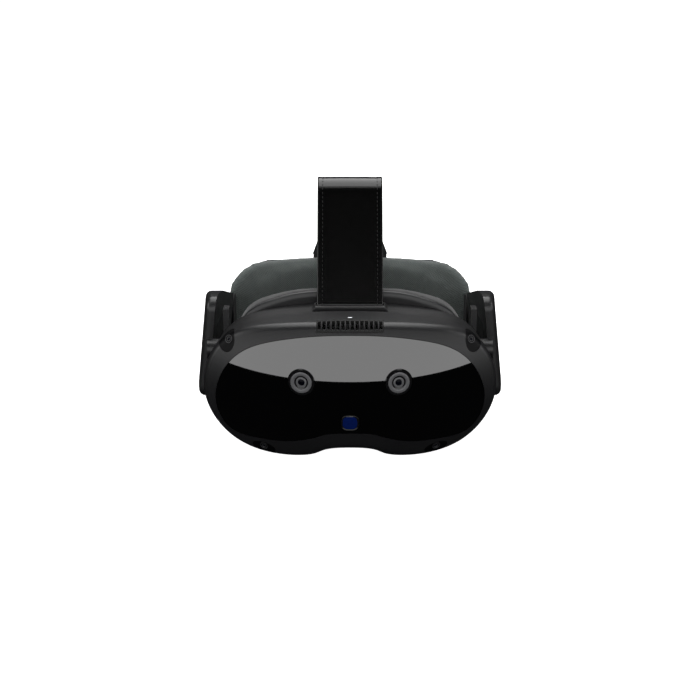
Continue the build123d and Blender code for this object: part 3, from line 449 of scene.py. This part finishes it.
def make_floor():
    """A plain pale floor that lights itself, and that the headset doesn't reflect."""
    surface = Surface("floor")
    mottle = surface.noise(surface.place(), 3.0)
    surface.link(surface.blend_colour(mottle, FLOOR_PALE, FLOOR_PALER), "Base Color")
    surface.set(Roughness=0.9, Specular_IOR_Level=0.1)
    surface.set(Emission_Color=(1, 1, 1, 1), Emission_Strength=FLOOR_GLOW)
    mesh = bpy.data.meshes.new("floor")
    corners = [(x * FLOOR_HALF, y * FLOOR_HALF, 0) for x, y in ((-1, -1), (1, -1), (1, 1), (-1, 1))]
    mesh.from_pydata(corners, [], [(0, 1, 2, 3)])
    mesh.materials.append(surface.material)
    floor = bpy.data.objects.new("floor", mesh)
    bpy.context.scene.collection.objects.link(floor)
    floor.visible_glossy = False
    floor.visible_diffuse = False


def area_light(name, place, target, size, power):
    """A soft rectangular light aimed at a point."""
    data = bpy.data.lights.new(name, "AREA")
    data.shape = "RECTANGLE"
    data.size, data.size_y = size
    data.energy = power
    light = bpy.data.objects.new(name, data)
    light.visible_camera = False
    bpy.context.scene.collection.objects.link(light)
    light.location = place
    light.rotation_euler = (Vector(target) - Vector(place)).to_track_quat("-Z", "Y").to_euler()
    return light


def make_lights():
    """A wide bank behind the camera for the gloss plate, a long box overhead and two side strips."""
    area_light("front_bank", (0, -2.3, 0.63), (0, -0.15, 0.63), (18.0, 1.62), 185)
    area_light("top_box", (0, 0.75, 1.5), (0, 0.75, 0), (1.6, 2.2), 38)
    area_light("left_strip", (-1.9, -0.2, 0.8), (0, 0, 0.06), (0.4, 1.2), 9)
    area_light("right_strip", (1.9, -0.2, 0.8), (0, 0, 0.06), (0.4, 1.2), 9)
    world = bpy.data.worlds.new("room")
    world.use_nodes = True
    background = world.node_tree.nodes["Background"]
    background.inputs["Color"].default_value = ROOM_COLOUR
    background.inputs["Strength"].default_value = ROOM_STRENGTH
    bpy.context.scene.world = world
    bpy.context.scene.view_settings.view_transform = "Standard"


make_camera()
make_floor()
make_lights()

# ------------------------------------------------------------------ top strap

STRAP_POINTS = [(-98.0, 94.4), (-56.0, 176.0), (30.0, 152.2), (118.2, 94.0)]    # (y, z)
STRAP_BENDS = [14.0, 120.0]
STRAP_SPLIT_Y = 12.0            # where the front length meets the rear one
STRAP_HALF_WIDTH, STRAP_HALF_THICKNESS, STRAP_ROUNDING = 22.5, 1.2, 1.1
STRAP_STEP = 2.0
BINDING_WIDTH, BINDING_RISE, CROWN_RISE = 4.2, 0.35, 0.25
STITCH_ACROSS, STITCH_LIFT, STITCH_PITCH, FIRST_STITCH = 18.8, 1.45, 3.0, 2.0
STITCH_SIZE = (0.28, 1.05, 0.24)            # half of its width, length and height
LOOP_BAR_Y, LOOP_BAR_Z = 121.1, 89.6
FOLD_HALF_DEPTH, FOLD_HALF_HEIGHT, FOLD_ROUNDING, FOLD_START_Z = 3.5, 4.0, 2.6, 1.4


def bent_path(points, radii, step):
    """Points along a polyline with rounded corners, at about the given spacing."""
    path = [Vector(points[0])]
    for index, radius in enumerate(radii):
        before, corner, after = (Vector(point) for point in points[index:index + 3])
        to_before = (before - corner).normalized()
        to_after = (after - corner).normalized()
        half_angle = to_before.angle(to_after) / 2
        reach = radius / np.tan(half_angle)
        centre = corner + (to_before + to_after).normalized() * radius / sin(half_angle)
        start, end = corner + to_before * reach, corner + to_after * reach
        count = max(8, int(radius * (pi - 2 * half_angle) / step))
        first, last = start - centre, end - centre
        for number in range(count + 1):
            path.append(centre + first.slerp(last, number / count).normalized() * radius)
    path.append(Vector(points[-1]))
    dense = [path[0]]
    for point in path[1:]:
        gap = (point - dense[-1]).length
        count = max(1, int(gap / step))
        start = dense[-1]
        dense += [start.lerp(point, number / count) for number in range(1, count + 1)]
    return dense


def band_section(half_width, half_thickness, rounding):
    """The closed outline of a strap's section, as (across, out) pairs."""
    points = []
    for across_sign, out_sign, start in ((1, 1, 0), (-1, 1, 90), (-1, -1, 180), (1, -1, 270)):
        for step in range(5):
            angle = radians(start + 22.5 * step)
            points.append((across_sign * (half_width - rounding) + rounding * cos(angle),
                           out_sign * (half_thickness - rounding) + rounding * sin(angle)))
        if start in (0, 180):
            for part in range(1, 12):
                points.append((across_sign * (half_width - rounding) * (1 - part / 6),
                               out_sign * half_thickness))
    return points


def strap_piece(name, path, node):
    """A length of strap along (y, z) points, thicker along its bound edges."""
    section = band_section(STRAP_HALF_WIDTH, STRAP_HALF_THICKNESS, STRAP_ROUNDING)
    rows = []
    lengths = [0.0]
    for index, point in enumerate(path):
        before = path[max(index - 1, 0)]
        after = path[min(index + 1, len(path) - 1)]
        along = (after - before).normalized()
        out = Vector((-along.y, along.x))
        if index:
            lengths.append(lengths[-1] + (point - path[index - 1]).length)
        row = []
        for across, lift in section:
            edge = max(0.0, (abs(across) - STRAP_HALF_WIDTH + BINDING_WIDTH) / BINDING_WIDTH)
            facing = 1 if lift > 0 else -1
            binding = BINDING_RISE * min(1.0, edge * 6) * facing
            crown = CROWN_RISE * (1 - (across / STRAP_HALF_WIDTH) ** 2) * facing
            place = point + out * (lift + binding + crown)
            row.append((across, place.x, place.y))
        rows.append(row)
    around = [0.0]
    for first, second in zip(section, section[1:] + section[:1]):
        around.append(around[-1] + hypot(second[0] - first[0], second[1] - first[1]))
    piece = grid_object(name, rows, [MATERIALS["strap_webbing"]], close_columns=True, cap=True,
                        uv=lambda line, column: (around[column], lengths[line]))
    bpy.context.scene.collection.objects.link(piece)
    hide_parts(node)
    return piece


def stitch_row(name, path, across):
    """A row of sewn stitches along a strap, each a short raised thread."""
    mesh = bpy.data.meshes.new(name)
    shell = bmesh.new()
    travelled, target = 0.0, FIRST_STITCH
    size = Matrix.Diagonal((*(extent * MM for extent in STITCH_SIZE), 1))
    for index in range(1, len(path)):
        step = path[index] - path[index - 1]
        while travelled + step.length >= target:
            along = step.normalized()
            out = Vector((-along.y, along.x))
            place = path[index - 1] + along * (target - travelled) + out * STITCH_LIFT
            turn = Matrix.Rotation(atan2(along.y, along.x), 4, "X")
            centre = Matrix.Translation(Vector((across, place.x, place.y)) * MM)
            bmesh.ops.create_icosphere(shell, subdivisions=1, radius=1.0, matrix=centre @ turn @ size)
            target += STITCH_PITCH
        travelled += step.length
    shell.to_mesh(mesh)
    shell.free()
    mesh.polygons.foreach_set("use_smooth", [True] * len(mesh.polygons))
    mesh.materials.append(THREAD)
    piece = bpy.data.objects.new(name, mesh)
    bpy.context.scene.collection.objects.link(piece)
    return piece


def fold_path():
    """The strap's end, folded once round the bar of the strap loop, as (y, z) points."""
    outline = rounded_box_outline(FOLD_HALF_DEPTH, FOLD_HALF_HEIGHT, FOLD_ROUNDING)
    points = [Vector((LOOP_BAR_Y + y, LOOP_BAR_Z + z)) for y, z in reversed(outline)]
    start = outline.index(min(outline, key=lambda point: hypot(point[0] + FOLD_HALF_DEPTH,
                                                               point[1] - FOLD_START_Z)))
    turned = points[len(points) - 1 - start:] + points[:len(points) - 1 - start]
    return turned + turned[:1]


def make_top_strap():
    """The overhead strap: its front length crosses the tilt, its rear length the cradle's slide."""
    path = bent_path(STRAP_POINTS, STRAP_BENDS, STRAP_STEP)
    front_path = [point for point in path if point.x <= STRAP_SPLIT_Y]
    rear_path = [front_path[-1]] + [point for point in path if point.x > STRAP_SPLIT_Y]
    front = [strap_piece("top_strap_front_band", front_path, "top_strap_front")]
    rear = [strap_piece("top_strap_rear_band", rear_path, "top_strap_rear"),
            strap_piece("top_strap_rear_fold", fold_path(), "top_strap_rear")]
    for side in (-1, 1):
        across = side * STITCH_ACROSS
        front.append(stitch_row(f"strap_front_stitches_{side + 1}", front_path, across))
        rear.append(stitch_row(f"strap_rear_stitches_{side + 1}", rear_path, across))
    for piece in front:
        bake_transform(piece)
    for piece in rear:
        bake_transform(piece)


make_top_strap()

# ------------------------------------------------------------------ front plate

PLAN_RADIUS, SIDE_RADIUS, FRONT_Y, FRONT_MID_Z = 150.0, 95.0, -155.0, 50.0


def front_point(x, z, inset=0.0):
    """The point of the visor's curved front at x and z, in millimetres."""
    axis_y = FRONT_Y + PLAN_RADIUS
    radius = (PLAN_RADIUS - SIDE_RADIUS) + sqrt((SIDE_RADIUS - inset) ** 2 - (z - FRONT_MID_Z) ** 2)
    return Vector((x, axis_y - sqrt(radius ** 2 - x ** 2), z))


def front_normal(x, z):
    """The direction that the visor's front faces at x and z."""
    point = front_point(x, z)
    right = front_point(x + 0.5, z) - point
    up = front_point(x, z + 0.5) - point
    return right.cross(up).normalized()


def make_plate_skin():
    """The front plate with its true curvature in the shading, so that it reflects without facets."""
    mesh = NODES["front_plate"].data.copy()
    mesh.name = "front_plate_skin"
    to_row = NODES["front_plate"].matrix_world
    mesh.transform(to_row)
    normals = [None] * len(mesh.loops)
    for face in mesh.polygons:
        face.use_smooth = True
        for loop in face.loop_indices:
            place = mesh.vertices[mesh.loops[loop].vertex_index].co / MM
            curved = front_normal(place.x, place.z)
            faces_front = face.normal.dot(curved) > 0.9
            normals[loop] = curved if faces_front else face.normal.copy()
    mesh.normals_split_custom_set(normals)
    plate = bpy.data.objects.new("front_plate_skin", mesh)
    finish_piece(plate, "visor", ["front_plate"])


make_plate_skin()

# ------------------------------------------------------------------ cameras


def make_colour_camera(side):
    """A colour camera: gloss disc, satin ring, stepped well, inner ring and a domed lens."""
    name = "left" if side > 0 else "right"
    centre = front_point(32.0 * side, 58.0)
    direction = front_normal(32.0 * side, 58.0) + Vector((0, 0, -0.10))
    profile = [
        (9.0, -7.0, 0), (9.0, -0.3, 0), (8.8, -0.05, 0), (7.25, 0.0, 0), (7.15, 0.25, 1), (6.9, 0.4, 1),
        (5.0, 0.4, 1), (4.75, 0.25, 1), (4.65, -0.3, 0), (3.75, -0.45, 0), (3.6, -0.2, 1), (3.4, -0.1, 1),
        (2.4, -0.1, 1), (2.3, -0.25, 1), (2.2, -0.6, 2), (1.7, -0.35, 2), (1.0, -0.15, 2), (0.3, -0.05, 2),
    ]
    piece = lathe(f"colour_camera_{name}_optics", profile, centre - direction.normalized() * 0.1, direction,
                  [MATERIALS["camera_black"], SATIN_RING_AND_PAINTED_HIGHLIGHT, LENS_DARK], 72)
    finish_piece(piece, "visor", [f"colour_camera_{name}"])


def surface_hit(node, start, direction):
    """Where a ray in millimetres first meets a CAD node, and the way the surface faces there."""
    target = NODES[node]
    to_local = target.matrix_world.inverted()
    origin = to_local @ (Vector(start) * MM)
    heading = (to_local.to_3x3() @ Vector(direction)).normalized()
    found, place, normal, _ = target.ray_cast(origin, heading)
    if not found:
        raise ValueError(f"the ray misses {node}")
    return (target.matrix_world @ place) / MM, (target.matrix_world.to_3x3() @ normal).normalized()


TRACKING_LENSES = {"upper": (80.6, 80.2), "lower": (58.0, 7.4)}      # (x, z), mirrored


def make_tracking_optics(name, side):
    """The small ringed lens of a tracking camera, just proud of its dark window."""
    x, z = TRACKING_LENSES[name]
    place, normal = surface_hit("tracking_windows", (x * side, -200.0, z), (0, 1, 0))
    profile = [
        (2.9, -1.6, 0), (2.9, 0.28, 0), (2.75, 0.4, 1), (2.45, 0.4, 1), (2.35, 0.28, 0), (1.6, 0.22, 0),
        (1.5, 0.32, 1), (1.2, 0.32, 1), (1.1, 0.18, 2), (0.6, 0.34, 2), (0.2, 0.38, 2),
    ]
    label = "left" if side > 0 else "right"
    piece = lathe(f"tracking_lens_{name}_{label}", profile, place, normal,
                  [MATERIALS["dark_window"], RING_DIM, LENS_DARK], 40)
    finish_piece(piece, "visor")


def make_depth_sensor():
    """The depth sensor's blue window, slightly domed, in a thin rim: black below, light grey along its
    upper arc as a painted highlight.
    """
    rings = ((0.0, -2.5, 0), (0.0, -0.15, 0), (0.08, 0.05, 0), (0.35, 0.12, 1), (0.55, 0.02, 1),
             (0.6, -0.25, 1), (1.2, -0.2, 2), (2.4, -0.12, 2), (4.4, -0.06, 2))
    rows = []
    for inset, height, _ in rings:
        outline = rounded_box_outline(5.95 - inset, 5.75 - inset, max(4.35 - inset, 1.0))
        rows.append([front_point(x, 30.4 + z) + front_normal(x, 30.4 + z) * height for x, z in outline])
    piece = grid_object("depth_sensor_window", rows,
                        [MATERIALS["camera_black"], SATIN_RING_AND_PAINTED_HIGHLIGHT, MATERIALS["sensor_blue"]],
                        close_columns=True, cap=True)
    columns = len(rows[0])
    for face in piece.data.polygons:
        line = face.index // columns
        face.material_index = rings[line][2] if line < len(rings) - 1 else 2
        # Only the rim's upper arc keeps the light grey, as a painted highlight; its lower arc turns black.
        if face.material_index == 1 and face.center.z < 35.2 * MM:
            face.material_index = 0
    finish_piece(piece, "visor", ["depth_sensor"])


def make_status_light():
    """The small status light, a rounded bar let into the top of the bezel."""
    middle, _ = surface_hit("status_light", (0.0, -128.9, 200.0), (0, 0, -1))
    rows = []
    for inset, height in ((0.0, -1.2), (0.0, 0.0), (0.12, 0.08), (0.4, 0.1)):
        outline = rounded_box_outline(1.45 - inset, 0.62 - inset, max(0.6 - inset, 0.05), 5)
        rows.append([middle + Vector((x, y, height)) for x, y in outline])
    piece = grid_object("status_light_bar", rows, [MATERIALS["light_guide"]], close_columns=True, cap=True)
    finish_piece(piece, "visor", ["status_light"])


bpy.context.view_layer.update()
make_status_light()
for camera_side in (1, -1):
    make_colour_camera(camera_side)
    for camera_name in TRACKING_LENSES:
        make_tracking_optics(camera_name, camera_side)
make_depth_sensor()

# ------------------------------------------------------------------ cushions

CLOTH_FRAMES, CLOTH_PRESSURE = 20, 4.0
VOXEL = 3.0                 # millimetres between the points of a cushion before it is swollen
OUTLINE_POINTS = 61

def spline_outline(half_outline, count):
    """Points round a mirrored outline: a smooth curve through its half, then the other half."""
    points = np.array(half_outline, float)
    chords = np.concatenate([[0], np.cumsum(np.hypot(*np.diff(points, axis=0).T))])
    tangents = np.gradient(points, chords, axis=0)
    tangents[0], tangents[-1] = (1, 0), (-1, 0)
    right = []
    for distance in np.linspace(0, chords[-1], count):
        index = min(int(np.searchsorted(chords, distance, "right")) - 1, len(points) - 2)
        length = chords[index + 1] - chords[index]
        t = (distance - chords[index]) / length
        h00, h10 = 2 * t ** 3 - 3 * t ** 2 + 1, t ** 3 - 2 * t ** 2 + t
        h01, h11 = -2 * t ** 3 + 3 * t ** 2, t ** 3 - t ** 2
        right.append(h00 * points[index] + h10 * length * tangents[index]
                     + h01 * points[index + 1] + h11 * length * tangents[index + 1])
    left = [np.array((-x, z)) for x, z in reversed(right[1:-1])]
    return right + left


def inflate(piece, cap_mm, keep_inside):
    """Remeshes a soft piece and swells it as cloth under pressure, by no more than the cap."""
    bpy.context.view_layer.objects.active = piece
    remesh = piece.modifiers.new("remesh", "REMESH")
    remesh.mode = "VOXEL"
    remesh.voxel_size = VOXEL * MM
    apply_modifiers(piece)
    start = np.array([vertex.co for vertex in piece.data.vertices])
    cloth = piece.modifiers.new("cloth", "CLOTH")
    cloth.settings.quality = 6
    cloth.settings.use_pressure = True
    cloth.settings.uniform_pressure_force = CLOTH_PRESSURE
    cloth.settings.effector_weights.gravity = 0.0
    cloth.point_cache.frame_start = 1
    cloth.point_cache.frame_end = CLOTH_FRAMES
    for number in range(1, CLOTH_FRAMES + 1):
        bpy.context.scene.frame_set(number)
    apply_modifiers(piece)
    bpy.context.scene.frame_set(1)
    moved = np.array([vertex.co for vertex in piece.data.vertices]) - start
    length = np.linalg.norm(moved, axis=1, keepdims=True)
    moved *= np.minimum(1.0, cap_mm * MM / np.maximum(length, 1e-9))
    for vertex, place in zip(piece.data.vertices, start + moved):
        vertex.co = place
    relax = piece.modifiers.new("relax", "SMOOTH")
    relax.factor = 0.5
    relax.iterations = 3
    subdivide = piece.modifiers.new("smooth", "SUBSURF")
    subdivide.levels = subdivide.render_levels = 1
    apply_modifiers(piece)
    for vertex in piece.data.vertices:
        vertex.co = keep_inside(vertex.co / MM) * MM
    piece.data.polygons.foreach_set("use_smooth", [True] * len(piece.data.polygons))
    piece.data.update()


def apply_modifiers(piece):
    """Replaces the piece's mesh with what its modifiers make of it."""
    graph = bpy.context.evaluated_depsgraph_get()
    made = bpy.data.meshes.new_from_object(piece.evaluated_get(graph))
    piece.modifiers.clear()
    materials = list(piece.data.materials)
    piece.data = made
    made.materials.clear()
    for material in materials:
        made.materials.append(material)


def unroll(piece, uv_of):
    """Writes the cloth_mm map from each vertex's place in millimetres."""
    layer = piece.data.uv_layers.get("cloth_mm") or piece.data.uv_layers.new(name="cloth_mm")
    for loop in piece.data.loops:
        layer.data[loop.index].uv = uv_of(piece.data.vertices[loop.vertex_index].co / MM)


PAD_RADIUS, PAD_CENTRE_Y, PAD_BACK_RADIUS = 113.0, -1.0, 123.9
PAD_TOP, PAD_BOTTOM, PAD_HALF_WIDTH, PAD_CORNER = 79.9, 4.0, 89.9, 24.0
PAD_COLUMNS, PAD_LINES = 60, 32
PAD_EDGE = 9.0              # how far in from its edge the rear cushion starts to thin


def pad_half_width(z):
    """Half of the rear cushion's width at height z."""
    if z > PAD_TOP - PAD_CORNER:
        above = z - PAD_TOP + PAD_CORNER
        return PAD_HALF_WIDTH - PAD_CORNER + sqrt(max(PAD_CORNER ** 2 - above ** 2, 0.0))
    if z < 22.0:
        return 56.0 + 32.0 * sqrt(max((z - PAD_BOTTOM) / 18.0, 0.0))
    return PAD_HALF_WIDTH - 1.5 * (PAD_TOP - PAD_CORNER - z) / 31.5


def pad_point(x, z, radius):
    """A point of the rear cushion: x is measured across, radius from the middle of the head."""
    depth = sqrt(PAD_RADIUS ** 2 - x ** 2) * radius / PAD_RADIUS
    return Vector((x * radius / PAD_RADIUS, PAD_CENTRE_Y + depth, z))


def make_rear_cushion():
    """The knitted cushion behind the head, fuller in the middle than at its sewn edge."""
    front, back = [], []
    for line in range(PAD_LINES + 1):
        share = 0.5 - 0.5 * cos(pi * line / PAD_LINES)
        z = PAD_BOTTOM + (PAD_TOP - PAD_BOTTOM) * share
        half = pad_half_width(z)
        front_row, back_row = [], []
        for column in range(PAD_COLUMNS + 1):
            x = -half * cos(pi * column / PAD_COLUMNS)
            edge = min(half - abs(x), z - PAD_BOTTOM, PAD_TOP - z)
            fall = max(0.0, 1.0 - edge / PAD_EDGE) ** 2
            front_row.append(pad_point(x, z, PAD_RADIUS + 0.8 + 4.6 * fall))
            back_row.append(pad_point(x, z, PAD_BACK_RADIUS - 0.4 - 2.2 * fall ** 2))
        front.append(front_row)
        back.append(back_row)
    rows = [front_row + back_row[::-1] for front_row, back_row in zip(front, back)]
    piece = grid_object("rear_cushion_knit", rows, [MATERIALS["knit_fabric"]], close_columns=True, cap=True)
    bpy.context.scene.collection.objects.link(piece)

    def against_shell(place):
        """Keeps a point on the head's side of the cradle's front shell."""
        reach = hypot(place.x, place.y - PAD_CENTRE_Y)
        shrink = min(1.0, PAD_BACK_RADIUS / reach)
        return Vector((place.x * shrink, PAD_CENTRE_Y + (place.y - PAD_CENTRE_Y) * shrink, place.z))

    inflate(piece, 1.6, against_shell)
    unroll(piece, lambda place: (PAD_RADIUS * atan2(place.x, place.y - PAD_CENTRE_Y),
                                 place.z + hypot(place.x, place.y - PAD_CENTRE_Y) - PAD_RADIUS))
    finish_piece(piece, "rear_cradle", ["rear_cushion"])


CUSHION_OUTLINE = [(0, 101), (46, 97.5), (72, 85), (82, 62), (79, 36),
                   (62, 16), (42, 9), (24, 14), (12, 28), (0, 33)]
CUSHION_OPENING = [(0, 86), (40, 83), (60, 74), (67, 58), (65, 38),
                   (50, 26), (36, 23), (25, 31), (13, 44), (0, 49)]
FACE_RADIUS, FACE_CENTRE_Y, CUSHION_FRONT_Y = 140.0, 75.0, -77.0


def face_y(x):
    """How far back the face cushion reaches at x, where it fits the curve of a face."""
    return FACE_CENTRE_Y - sqrt(FACE_RADIUS ** 2 - x ** 2)


def make_face_cushion():
    """The soft cushion round the eyes, rolled over towards the face."""
    outer = spline_outline(CUSHION_OUTLINE, OUTLINE_POINTS)
    inner = spline_outline(CUSHION_OPENING, OUTLINE_POINTS)
    rows = []
    for (outer_x, outer_z), (inner_x, inner_z) in zip(outer, inner):
        section = []
        for across, depth in cushion_section():
            x = inner_x + (outer_x - inner_x) * across
            z = inner_z + (outer_z - inner_z) * across
            rear_y = face_y(x) - 1.0
            section.append((x, CUSHION_FRONT_Y + (rear_y - CUSHION_FRONT_Y) * depth, z))
        rows.append(section)
    piece = grid_object("face_cushion_soft", rows, [MATERIALS["face_foam"]], close_rows=True,
                        close_columns=True)
    bpy.context.scene.collection.objects.link(piece)

    def behind_frame(place):
        """Keeps a point behind the clip-on frame."""
        return Vector((place.x, max(place.y, CUSHION_FRONT_Y + 0.05), place.z))

    inflate(piece, 1.5, behind_frame)
    unroll(piece, lambda place: (place.x, place.z))
    finish_piece(piece, "face_gasket", ["face_cushion"])


def make_gasket_frame():
    """The clip-on frame in front of the face cushion, with a softened front edge."""
    outer = spline_outline(CUSHION_OUTLINE, OUTLINE_POINTS)
    inner = spline_outline(CUSHION_OPENING, OUTLINE_POINTS)
    section = [(0.99, -77.2), (0.99, -78.6), (0.975, -79.4), (0.95, -79.85), (0.7, -79.85), (0.4, -79.85),
               (0.03, -79.85), (0.0, -79.5), (0.0, -77.2), (0.5, -77.2)]
    rows = []
    for (outer_x, outer_z), (inner_x, inner_z) in zip(outer, inner):
        rows.append([(inner_x + (outer_x - inner_x) * across, y, inner_z + (outer_z - inner_z) * across)
                     for across, y in section])
    piece = grid_object("gasket_frame_ring", rows, [MATERIALS["arm_plastic"]], close_rows=True,
                        close_columns=True)
    sharp_edges(piece, 50)
    finish_piece(piece, "face_gasket", ["gasket_frame"])


def cushion_section():
    """The face cushion's section as (share of its width from the opening outwards, share of its depth)."""
    wall = [(0.97, 0.0), (0.98, 0.18), (0.98, 0.36), (0.97, 0.54), (0.95, 0.7)]
    crest = [(0.5 + 0.44 * cos(radians(angle)), 0.72 + 0.27 * sin(radians(angle)))
             for angle in range(20, 161, 20)]
    inside = [(0.05, 0.7), (0.03, 0.54), (0.02, 0.36), (0.02, 0.18), (0.03, 0.0)]
    front = [(0.25, 0.0), (0.5, 0.0), (0.75, 0.0)]
    return wall + crest + inside + front


make_rear_cushion()
make_face_cushion()
make_gasket_frame()
